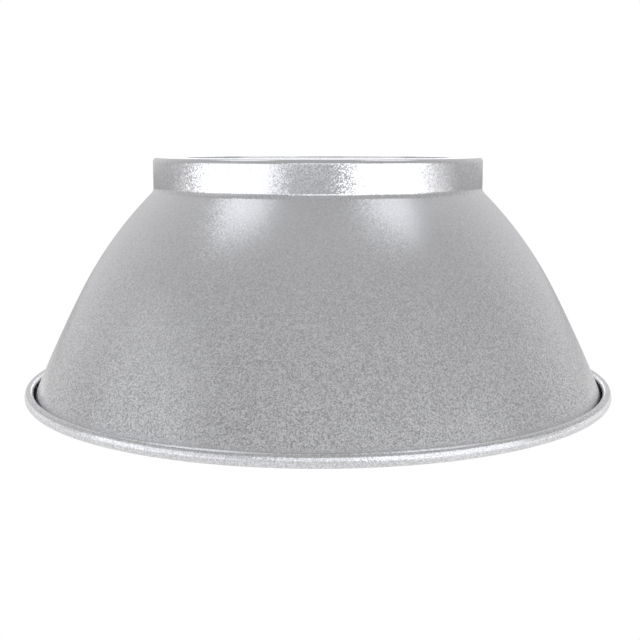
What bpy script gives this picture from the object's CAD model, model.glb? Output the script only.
"""Looks of the spun aluminium lamp reflector: the shell's fine mesh, materials, studio, floor and camera."""

import math

import bmesh
import bpy
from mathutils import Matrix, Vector


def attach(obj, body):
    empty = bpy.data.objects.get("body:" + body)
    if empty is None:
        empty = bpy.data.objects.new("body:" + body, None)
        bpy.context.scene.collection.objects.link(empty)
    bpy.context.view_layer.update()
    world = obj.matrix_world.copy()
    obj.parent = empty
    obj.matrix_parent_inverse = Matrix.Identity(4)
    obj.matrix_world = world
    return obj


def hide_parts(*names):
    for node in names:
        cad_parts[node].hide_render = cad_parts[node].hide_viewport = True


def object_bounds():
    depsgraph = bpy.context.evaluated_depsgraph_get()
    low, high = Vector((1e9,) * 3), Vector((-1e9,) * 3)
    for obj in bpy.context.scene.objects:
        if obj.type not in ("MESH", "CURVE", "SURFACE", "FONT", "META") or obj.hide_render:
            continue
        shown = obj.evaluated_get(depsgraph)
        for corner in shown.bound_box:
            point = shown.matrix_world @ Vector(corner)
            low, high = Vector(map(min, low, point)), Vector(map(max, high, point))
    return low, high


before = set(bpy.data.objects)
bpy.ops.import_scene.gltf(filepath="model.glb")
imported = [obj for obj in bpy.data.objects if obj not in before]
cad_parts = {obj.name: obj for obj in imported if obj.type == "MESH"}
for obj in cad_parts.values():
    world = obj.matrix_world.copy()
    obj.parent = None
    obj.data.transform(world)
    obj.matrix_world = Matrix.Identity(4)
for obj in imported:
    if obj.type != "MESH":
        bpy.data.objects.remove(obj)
CAD_LOW, CAD_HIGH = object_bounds()

CENTRE = (CAD_LOW + CAD_HIGH) / 2
MM = 0.001

# camera, in metres from the reflector's axis and its mouth plane
CAMERA_DISTANCE = 0.7437
CAMERA_HEIGHT = 0.168
CAMERA_SHIFT = 0.0032  # of the picture's width
CAMERA_DIP = 9.2  # degrees below level
CAMERA_LENS = 60.6  # millimetres, on a 36 mm sensor

BACKDROP = 1.0  # brightness of the white that the camera sees
STUDIO_GREY = 0.46  # brightness of the unlit studio overhead, as the metal reflects it
STUDIO_BACK = 0.66  # the same, low behind the object
STUDIO_TURN = (0.1, 0.85)  # backward part of a direction: the change starts at the first, ends at the second
FLOOR_NEAR = 0.76  # brightness of the table beside the object, as the metal reflects it
FLOOR_FAR = 0.42  # the same, FLOOR_REACH metres from the axis and beyond
FLOOR_REACH = 1.3
FLOOR_INSIDE = 1.15  # the same under the reflector, to light its inside
FLOOR_HALF = 6.0  # metres, half the table's width
# brighter sectors of the table: azimuth from the camera and half width in degrees, brightness that each adds
FLOOR_SECTORS = ((-68, 46, 0.45), (58, 44, 0.75))
SECTOR_EDGE = 14  # degrees over which a sector fades
SECTOR_START = (0.05, 1.6)  # share of a sector's light at the rim, and mouth radii out to where it is whole

SOFTBOX_COLOUR = (0.93, 0.96, 1.0)  # a little cooler than the white behind the object
# name, azimuth from the camera in degrees, then in metres the distance, the height of the centre, the width
# and the height, and last the brightness that the softbox adds to the studio behind it
SOFTBOXES = (
    ("left_wall", -55.5, 1.6, 0.05, 2.04, 0.40, 0.90),
    ("right_wall", 47.0, 1.6, 0.17, 1.70, 0.52, 0.85),
    ("left_veil", -72, 1.6, 0.66, 1.4, 0.60, 0.12),
    ("front_veil", 4, 1.6, 0.36, 1.3, 0.30, 0.90),
    ("left_top", -105, 0.66, 1.45, 0.9, 0.5, 0.66),
    ("right_top", 105, 0.63, 1.45, 0.9, 0.5, 0.58),
    ("back_wall", 180, 2.2, 0.25, 0.9, 0.6, 1.0),
)
UPRIGHT_BELOW = 0.64  # metres; softboxes with their centre higher than this tilt to face the object


# ---------------------------------------------------------------- the shell

# outline of the spun sheet, in millimetres, as the CAD model draws it
GAUGE = 1.2
# distances from the axis
MOUTH = 200.0
COLLAR = 111.5
OPENING = 90.0
# heights above the mouth plane
HEIGHT = 160.0
COLLAR_FOOT = 140.0
BELL_JOINT = 72.0  # where the bell's two arcs meet
LIP_HEIGHT = 8.6
# radii of the arcs, from the flange down
BEND = 2.6
FOOT_FILLET = 5.0
UPPER_BELL = 265.0
LOWER_BELL = 950.0
GUTTER = 2.7  # inside of the turn from the bell up into the lip
HEM = 1.4  # inside of the curl along the lip's top
# the lip's lean, and the straight part of its curled edge
LIP_LEAN = 14.0  # degrees
HEM_LENGTH = 1.0
FILLET_CENTRE = Vector((COLLAR + FOOT_FILLET, COLLAR_FOOT))
GUTTER_CENTRE = Vector((MOUTH - GAUGE - GUTTER, GAUGE + GUTTER))
SUPPORT = 0.3  # a ring this far inside each flat keeps its shading flat
CLOSEST = 0.001  # points of the outline that are nearer to each other than this become one
TURN_STEPS = 256

# holes in the flange: (radius, depth) steps from the top face down, circle radius, first angle in degrees
STUD_HOLES = (((2.8, 0.8), (2.0, 2 * GAUGE)), 101.5, 30.0)
SCREW_HOLES = (((2.25, 2 * GAUGE),), 100.0, 90.0)
HOLES_ROUND = 3
HOLE_STEPS = 40


def direction(degrees):
    return Vector((math.cos(math.radians(degrees)), math.sin(math.radians(degrees))))


def arc(centre, radius, start, end, steps):
    """Points from start to end, in degrees, with both ends."""
    return [centre + direction(start + (end - start) * step / steps) * radius for step in range(steps + 1)]


def flat(start, end):
    """A straight run, with a ring close to each end."""
    along = (end - start).normalized() * SUPPORT
    return [start, start + along, end - along, end]


def bell_arcs(top_slope):
    """Centres of the two bell arcs and the slope of their joint, for one slope of the bell's top."""
    upper_centre = FILLET_CENTRE - direction(top_slope) * (FOOT_FILLET + UPPER_BELL)
    joint_slope = math.degrees(math.asin((BELL_JOINT - upper_centre.y) / UPPER_BELL))
    lower_centre = upper_centre - direction(joint_slope) * (LOWER_BELL - UPPER_BELL)
    return upper_centre, lower_centre, joint_slope


def bell_top_slope():
    """Slope at which the bell's arcs meet the gutter without a corner, found by halving."""
    low, high = 35.0, 60.0
    for _ in range(50):
        middle = (low + high) / 2
        lower_centre = bell_arcs(middle)[1]
        if (GUTTER_CENTRE - lower_centre).length > LOWER_BELL + GUTTER:
            low = middle
        else:
            high = middle
    return middle


def shell_outline():
    """Closed half section: down the outside from the flange, round the lip's bead, and back up the inside."""
    bend_centre = Vector((COLLAR - BEND, HEIGHT - BEND))
    top_slope = bell_top_slope()
    upper_centre, lower_centre, joint_slope = bell_arcs(top_slope)
    across = GUTTER_CENTRE - lower_centre
    end_slope = math.degrees(math.atan2(across.y, across.x))
    outward = direction(LIP_LEAN)
    upward = direction(LIP_LEAN + 90)
    rise = LIP_HEIGHT - GAUGE - HEM - GUTTER_CENTRE.y - (GUTTER - HEM) * outward.y
    hem_centre = GUTTER_CENTRE + outward * (GUTTER - HEM) + upward * (rise / upward.y)

    def skin(inset):
        """One face of the sheet: inset is 0 outside and the gauge inside."""
        wall = COLLAR - inset
        top = HEIGHT - inset
        points = flat(Vector((OPENING, top)), Vector((COLLAR - BEND, top)))
        points += arc(bend_centre, BEND - inset, 90, 0, 8)
        points += flat(Vector((wall, HEIGHT - BEND)), Vector((wall, COLLAR_FOOT)))
        points += arc(FILLET_CENTRE, FOOT_FILLET + inset, 180, 180 + top_slope, 7)
        points += arc(upper_centre, UPPER_BELL - inset, top_slope, joint_slope, 14)
        points += arc(lower_centre, LOWER_BELL - inset, joint_slope, end_slope, 10)
        points += arc(GUTTER_CENTRE, GUTTER + inset, 180 + end_slope, 360 + LIP_LEAN, 18)
        points += flat(GUTTER_CENTRE + outward * (GUTTER + inset), hem_centre + outward * (HEM + inset))
        points += arc(hem_centre, HEM + inset, LIP_LEAN, 180 + LIP_LEAN, 12)
        fold = hem_centre - outward * (HEM + inset)
        points.append(fold - upward * HEM_LENGTH)
        return points

    edge_centre = hem_centre - outward * (HEM + GAUGE / 2) - upward * HEM_LENGTH
    cut_edge = arc(edge_centre, GAUGE / 2, 360 + LIP_LEAN, 180 + LIP_LEAN, 6)
    points = skin(0) + cut_edge + list(reversed(skin(GAUGE)))
    kept = [points[0]]
    for place in points[1:]:
        if (place - kept[-1]).length > CLOSEST:
            kept.append(place)
    return kept


def turned(name, outline, steps, centre=Vector((0, 0))):
    """Mesh of a closed outline turned about an upright axis; millimetres become metres."""
    shape = bmesh.new()
    rings = []
    for step in range(steps):
        turn = direction(360 * step / steps)
        rings.append([shape.verts.new(((centre.x + turn.x * place.x) * MM, (centre.y + turn.y * place.x) * MM,
                                       place.y * MM)) for place in outline])
    for this, following in zip(rings, rings[1:] + rings[:1]):
        for first in range(len(outline)):
            second = (first + 1) % len(outline)
            shape.faces.new((this[first], this[second], following[second], following[first]))
    bmesh.ops.remove_doubles(shape, verts=shape.verts, dist=1e-7)
    bmesh.ops.recalc_face_normals(shape, faces=shape.faces)
    mesh = bpy.data.meshes.new(name)
    shape.to_mesh(mesh)
    shape.free()
    item = bpy.data.objects.new(name, mesh)
    bpy.context.scene.collection.objects.link(item)
    return item


def drill(item, steps_down, circle, first_angle):
    """Cut one kind of flange hole, repeated evenly about the axis."""
    outline = [Vector((0, HEIGHT + 1)), Vector((steps_down[0][0], HEIGHT + 1))]
    for (radius, depth), following in zip(steps_down, steps_down[1:] + (None,)):
        outline.append(Vector((radius, HEIGHT - depth)))
        if following:
            outline.append(Vector((following[0], HEIGHT - depth)))
    outline.append(Vector((0, HEIGHT - steps_down[-1][1])))
    for index in range(HOLES_ROUND):
        place = direction(first_angle + index * 360 / HOLES_ROUND) * circle
        cutter = turned("cutter", outline, HOLE_STEPS, place)
        cut = item.modifiers.new("cut", "BOOLEAN")
        cut.operation = "DIFFERENCE"
        cut.object = cutter
        bake(item)
        mesh = cutter.data
        bpy.data.objects.remove(cutter)
        bpy.data.meshes.remove(mesh)


def bake(item):
    """Apply every modifier of an object."""
    graph = bpy.context.evaluated_depsgraph_get()
    mesh = bpy.data.meshes.new_from_object(item.evaluated_get(graph))
    item.modifiers.clear()
    item.data = mesh


def smooth_but_for_corners(mesh, corner=40):
    """Shade smooth, with a sharp edge wherever two faces meet at more than corner degrees."""
    shape = bmesh.new()
    shape.from_mesh(mesh)
    for face in shape.faces:
        face.smooth = True
    for edge in shape.edges:
        edge.smooth = edge.calc_face_angle(0) < math.radians(corner)
    shape.to_mesh(mesh)
    shape.free()


def make_shell():
    """The spun sheet in the CAD node's place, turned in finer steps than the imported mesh."""
    shell = turned("spun_shell", shell_outline(), TURN_STEPS)
    drill(shell, *STUD_HOLES)
    drill(shell, *SCREW_HOLES)
    smooth_but_for_corners(shell.data)
    shell.data.materials.clear()
    shell.data.materials.append(MATERIALS["reflector_shell"])
    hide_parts("reflector_shell")
    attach(shell, "reflector")


# ---------------------------------------------------------------- node helpers

class Nodes:
    """Short way to build a node tree: an input of add() is a value or another node's socket."""

    def __init__(self, tree):
        self.tree = tree
        tree.nodes.clear()

    def add(self, kind, inputs=None, **settings):
        node = self.tree.nodes.new(kind)
        for name, value in settings.items():
            setattr(node, name, value)
        for name, value in (inputs or {}).items():
            if isinstance(value, bpy.types.NodeSocket):
                self.tree.links.new(value, node.inputs[name])
            else:
                node.inputs[name].default_value = value
        return node

    def math(self, operation, first, second=0.0):
        return self.add("ShaderNodeMath", {0: first, 1: second}, operation=operation).outputs[0]

    def vector(self, operation, first, second, output="Vector"):
        """Arithmetic on two vectors; for SCALE the second input is a number."""
        slot = "Scale" if operation == "SCALE" else 1
        return self.add("ShaderNodeVectorMath", {0: first, slot: second}, operation=operation).outputs[output]

    def remap(self, value, from_low, from_high, to_low, to_high):
        """Map a value's range onto another, clamped at both ends."""
        inputs = {"Value": value, "From Min": from_low, "From Max": from_high}
        inputs.update({"To Min": to_low, "To Max": to_high})
        return self.add("ShaderNodeMapRange", inputs).outputs["Result"]

    def noise(self, vector, scale, detail, roughness=0.5):
        inputs = {"Vector": vector, "Scale": scale, "Detail": detail, "Roughness": roughness}
        return self.add("ShaderNodeTexNoise", inputs).outputs["Fac"]

    def place(self):
        """Position in the row frame, in metres."""
        return self.add("ShaderNodeTexCoord").outputs["Object"]


def new_material(name):
    material = bpy.data.materials.new(name)
    material.use_nodes = True
    return material, Nodes(material.node_tree)


def finish_metal(nodes, colour, roughness, normal):
    shader = nodes.add("ShaderNodeBsdfPrincipled", {
        "Base Color": colour, "Metallic": 1.0, "Roughness": roughness, "Normal": normal})
    nodes.add("ShaderNodeOutputMaterial", {"Surface": shader.outputs[0]})


def grey_ramp(nodes, value, dark, light):
    """Colour between two greys by a value from 0 to 1."""
    ramp = nodes.add("ShaderNodeMix", {"Factor": value}, data_type="RGBA")
    ramp.inputs["A"].default_value = (*dark, 1)
    ramp.inputs["B"].default_value = (*light, 1)
    return ramp.outputs["Result"]


def along_turning(nodes, place):
    """(distance from the axis, height) of a point, so that a texture runs in rings."""
    parts = nodes.add("ShaderNodeSeparateXYZ", {"Vector": place})
    across = nodes.math("MULTIPLY", parts.outputs["X"], parts.outputs["X"])
    along = nodes.math("MULTIPLY", parts.outputs["Y"], parts.outputs["Y"])
    radius = nodes.math("SQRT", nodes.math("ADD", across, along))
    rings = nodes.add("ShaderNodeCombineXYZ", {"X": radius, "Y": 0.0, "Z": parts.outputs["Z"]})
    return rings.outputs["Vector"]


# ---------------------------------------------------------------- materials

FLAKE_SIZE = 0.0006  # metres, the grain of the rolled sheet
FLAKE_TILT = (0.17, 0.08)  # how far a grain leans from the surface: on the collar, and on the bell
FLAKE_LEVEL = (1.0, 1.0, 0.25)  # it leans sideways more than up or down
FLAKE_TONE = (0.08, 0.70)  # how much its brightness varies: at the bell's top, and at the mouth
COLLAR_TONE = 0.24  # the same on the collar
SATIN = (0.17, 0.26)  # roughness of the collar, and of the bell
FLANGE_CALM = 0.15  # share of the grain left on the flat flange
LIP_CALM = 0.55  # share of its contrast left on the lip
ALUMINIUM = 0.80  # how much light the bare metal returns
COOLNESS = 1.03  # its blue against its red and green
RING_SCALE = 500  # spinning rings per metre, roughly
RING_DEPTH = 0.00002  # metres
PATCH_SCALE = 14  # cloudy patches per metre, roughly
PATCH_ROUGHNESS = 0.03  # by how much they change the roughness, either way
PATCH_TONE = 0.015  # the same for the brightness
PATCH_SPREAD = (0.3, 0.7)  # where nearly all of a noise's values lie


def grain_lean(nodes, grain, share):
    """Small random vector for each grain, to be added to the surface's normal."""
    centred = nodes.vector("SUBTRACT", grain, (0.5, 0.5, 0.5))
    return nodes.vector("SCALE", nodes.vector("MULTIPLY", centred, FLAKE_LEVEL), share)


def spun_aluminium():
    """Satin sheet whose fine grain catches the light, with faint spinning rings and cloudy patches."""
    material, nodes = new_material("spun_aluminium")
    place = nodes.place()
    height = nodes.add("ShaderNodeSeparateXYZ", {"Vector": place}).outputs["Z"]
    on_bell = nodes.remap(height, COLLAR_FOOT * MM, (COLLAR_FOOT - FOOT_FILLET) * MM, 0, 1)
    off_flange = nodes.remap(height, (HEIGHT - BEND) * MM, (HEIGHT - BEND / 4) * MM, 1.0, FLANGE_CALM)
    off_lip = nodes.remap(height, LIP_HEIGHT * MM, (LIP_HEIGHT + GAUGE) * MM, LIP_CALM, 1)
    grain = nodes.add("ShaderNodeTexVoronoi", {"Vector": place, "Scale": 1 / FLAKE_SIZE}).outputs["Color"]
    patches = nodes.noise(place, PATCH_SCALE, detail=3.0, roughness=0.6)

    rings = nodes.noise(along_turning(nodes, place), RING_SCALE, detail=1.0)
    bump = {"Height": rings, "Strength": 0.5, "Distance": RING_DEPTH}
    turned_face = nodes.add("ShaderNodeBump", bump).outputs["Normal"]
    share = nodes.math("MULTIPLY", nodes.remap(on_bell, 0, 1, *FLAKE_TILT), off_flange)
    leaning = nodes.vector("ADD", turned_face, grain_lean(nodes, grain, share))
    normal = nodes.add("ShaderNodeVectorMath", {0: leaning}, operation="NORMALIZE").outputs["Vector"]

    patchy = nodes.remap(patches, *PATCH_SPREAD, -PATCH_ROUGHNESS, PATCH_ROUGHNESS)
    roughness = nodes.math("ADD", nodes.remap(on_bell, 0, 1, *SATIN), patchy)

    shade = nodes.add("ShaderNodeSeparateColor", {"Color": grain}).outputs["Red"]
    bell_tone = nodes.remap(height, COLLAR_FOOT * MM, 0, *FLAKE_TONE)
    contrast = nodes.math("MULTIPLY", nodes.remap(on_bell, 0, 1, COLLAR_TONE, bell_tone), off_flange)
    contrast = nodes.math("MULTIPLY", contrast, off_lip)
    tone = nodes.math("MULTIPLY", nodes.math("SUBTRACT", shade, 0.5), contrast)
    patchy = nodes.remap(patches, *PATCH_SPREAD, -PATCH_TONE, PATCH_TONE)
    tone = nodes.math("ADD", nodes.math("ADD", tone, ALUMINIUM), patchy)
    blue = nodes.math("MULTIPLY", tone, COOLNESS)
    colour = nodes.add("ShaderNodeCombineColor", {"Red": tone, "Green": tone, "Blue": blue})
    finish_metal(nodes, colour.outputs[0], roughness, normal)
    return material


CLOUD_SCALE = 400  # cloudy tone of the small metal pieces, per metre
MARK_SCALE = 2500  # their tool marks
MARK_DEPTH = 0.00001  # metres


def plated_steel(name, dark, light, roughness):
    """Machined metal: tool marks in rings, and clouds that change its tone and roughness a little."""
    material, nodes = new_material(name)
    place = nodes.place()
    cloud = nodes.noise(place, CLOUD_SCALE, detail=3.0)
    marks = nodes.noise(along_turning(nodes, place), MARK_SCALE, detail=2.0)
    bump = nodes.add("ShaderNodeBump", {"Height": marks, "Strength": 0.5, "Distance": MARK_DEPTH})
    rough = nodes.remap(cloud, *PATCH_SPREAD, roughness * 0.8, roughness * 1.25)
    finish_metal(nodes, grey_ramp(nodes, cloud, dark, light), rough, bump.outputs["Normal"])
    return material


MATERIALS = {
    "reflector_shell": spun_aluminium(),
    "clip_stud": plated_steel("zinc_steel", (0.56, 0.58, 0.60), (0.68, 0.70, 0.72), 0.28),
    "clip_spacer": plated_steel("spacer_aluminium", (0.70, 0.71, 0.72), (0.80, 0.81, 0.82), 0.30),
    "turn_clip": plated_steel("stainless_spring", (0.52, 0.51, 0.50), (0.62, 0.61, 0.60), 0.25),
    "clip_spring_washer": plated_steel("dark_steel", (0.10, 0.10, 0.11), (0.17, 0.17, 0.18), 0.38),
}
MATERIALS["clip_washer"] = MATERIALS["clip_stud"]
MATERIALS["clip_nut"] = MATERIALS["clip_stud"]


def dress(node, item):
    """Give a CAD node the material of its kind: its name without the number of its set."""
    kind = node.rstrip("0123456789").rstrip("_")
    item.data.materials.clear()
    item.data.materials.append(MATERIALS[kind])


# ---------------------------------------------------------------- studio

def make_floor():
    """Pale lit table: white to the camera, dimmer with distance in the metal, and clear from below."""
    level = CAD_LOW.z
    signs = ((-1, -1), (1, -1), (1, 1), (-1, 1))
    corners = [(across * FLOOR_HALF, along * FLOOR_HALF, level) for across, along in signs]
    mesh = bpy.data.meshes.new("floor")
    mesh.from_pydata(corners, [], [(0, 1, 2, 3)])
    floor = bpy.data.objects.new("floor", mesh)
    bpy.context.scene.collection.objects.link(floor)
    material, nodes = new_material("pale_floor")
    away = nodes.add("ShaderNodeVectorMath", {0: nodes.place()}, operation="LENGTH").outputs["Value"]
    outside = nodes.remap(away, MOUTH * MM, FLOOR_REACH, FLOOR_NEAR, FLOOR_FAR)
    at_rim, whole = SECTOR_START
    beyond = nodes.remap(away, MOUTH * MM, whole * MOUTH * MM, at_rim, 1)
    toward = nodes.add("ShaderNodeVectorMath", {0: nodes.place()}, operation="NORMALIZE").outputs[0]
    for azimuth, half_width, extra in FLOOR_SECTORS:
        middle = (*direction(azimuth - 90), 0)
        facing = nodes.vector("DOT_PRODUCT", toward, middle, output="Value")
        inside = nodes.remap(facing, direction(half_width).x, direction(half_width - SECTOR_EDGE).x, 0, extra)
        outside = nodes.math("ADD", outside, nodes.math("MULTIPLY", inside, beyond))
    under = nodes.math("LESS_THAN", away, (GUTTER_CENTRE.x - 2 * GUTTER) * MM)
    lit = nodes.remap(under, 0, 1, outside, FLOOR_INSIDE)
    glow = nodes.add("ShaderNodeEmission", {"Strength": lit})
    white = nodes.add("ShaderNodeEmission", {"Strength": BACKDROP})
    seen = nodes.add("ShaderNodeLightPath").outputs["Is Camera Ray"]
    mixed = nodes.add("ShaderNodeMixShader", {0: seen, 1: glow.outputs[0], 2: white.outputs[0]})
    below = nodes.add("ShaderNodeNewGeometry").outputs["Backfacing"]
    clear = nodes.add("ShaderNodeBsdfTransparent")
    one_sided = nodes.add("ShaderNodeMixShader", {0: below, 1: mixed.outputs[0], 2: clear.outputs[0]})
    nodes.add("ShaderNodeOutputMaterial", {"Surface": one_sided.outputs[0]})
    mesh.materials.append(material)


def make_world():
    """White behind the object; in its reflections a grey studio, lighter low at the back."""
    world = bpy.data.worlds.new("studio")
    world.use_nodes = True
    nodes = Nodes(world.node_tree)
    toward = nodes.add("ShaderNodeTexCoord").outputs["Generated"]
    backward = nodes.add("ShaderNodeSeparateXYZ", {"Vector": toward}).outputs["Y"]
    grey = nodes.remap(backward, *STUDIO_TURN, STUDIO_GREY, STUDIO_BACK)
    seen = nodes.add("ShaderNodeLightPath").outputs["Is Camera Ray"]
    white = nodes.add("ShaderNodeBackground", {"Strength": BACKDROP})
    dim = nodes.add("ShaderNodeBackground", {"Strength": grey})
    white.inputs["Color"].default_value = dim.inputs["Color"].default_value = (1, 1, 1, 1)
    mixed = nodes.add("ShaderNodeMixShader", {0: seen, 1: dim.outputs[0], 2: white.outputs[0]})
    nodes.add("ShaderNodeOutputWorld", {"Surface": mixed.outputs[0]})
    bpy.context.scene.world = world


def make_softbox(name, azimuth, distance, middle, width, height, brightness):
    """Area light whose power follows from how bright its face is. A low one stands upright."""
    turn = math.radians(azimuth)
    place = Vector((math.sin(turn) * distance, -math.cos(turn) * distance, middle))
    light = bpy.data.lights.new(name, "AREA")
    light.shape = "RECTANGLE"
    light.color = SOFTBOX_COLOUR
    light.size = width
    light.size_y = height
    light.energy = brightness * math.pi * width * height
    item = bpy.data.objects.new(name, light)
    item.location = place
    facing = Vector((place.x, place.y, 0)) if middle < UPRIGHT_BELOW else place - CENTRE
    item.rotation_euler = facing.to_track_quat("Z", "Y").to_euler()
    item.visible_camera = False
    bpy.context.scene.collection.objects.link(item)


def make_camera():
    data = bpy.data.cameras.new("camera")
    data.lens = CAMERA_LENS
    data.shift_x = CAMERA_SHIFT
    camera = bpy.data.objects.new("camera", data)
    camera.location = (CENTRE.x, CENTRE.y - CAMERA_DISTANCE, CAD_LOW.z + CAMERA_HEIGHT)
    camera.rotation_euler = (math.radians(90 - CAMERA_DIP), 0, 0)
    bpy.context.scene.collection.objects.link(camera)
    bpy.context.scene.camera = camera


make_camera()
make_world()
make_floor()
for softbox in SOFTBOXES:
    make_softbox(*softbox)
for node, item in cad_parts.items():
    dress(node, item)
make_shell()
bpy.context.scene.view_settings.view_transform = "Standard"
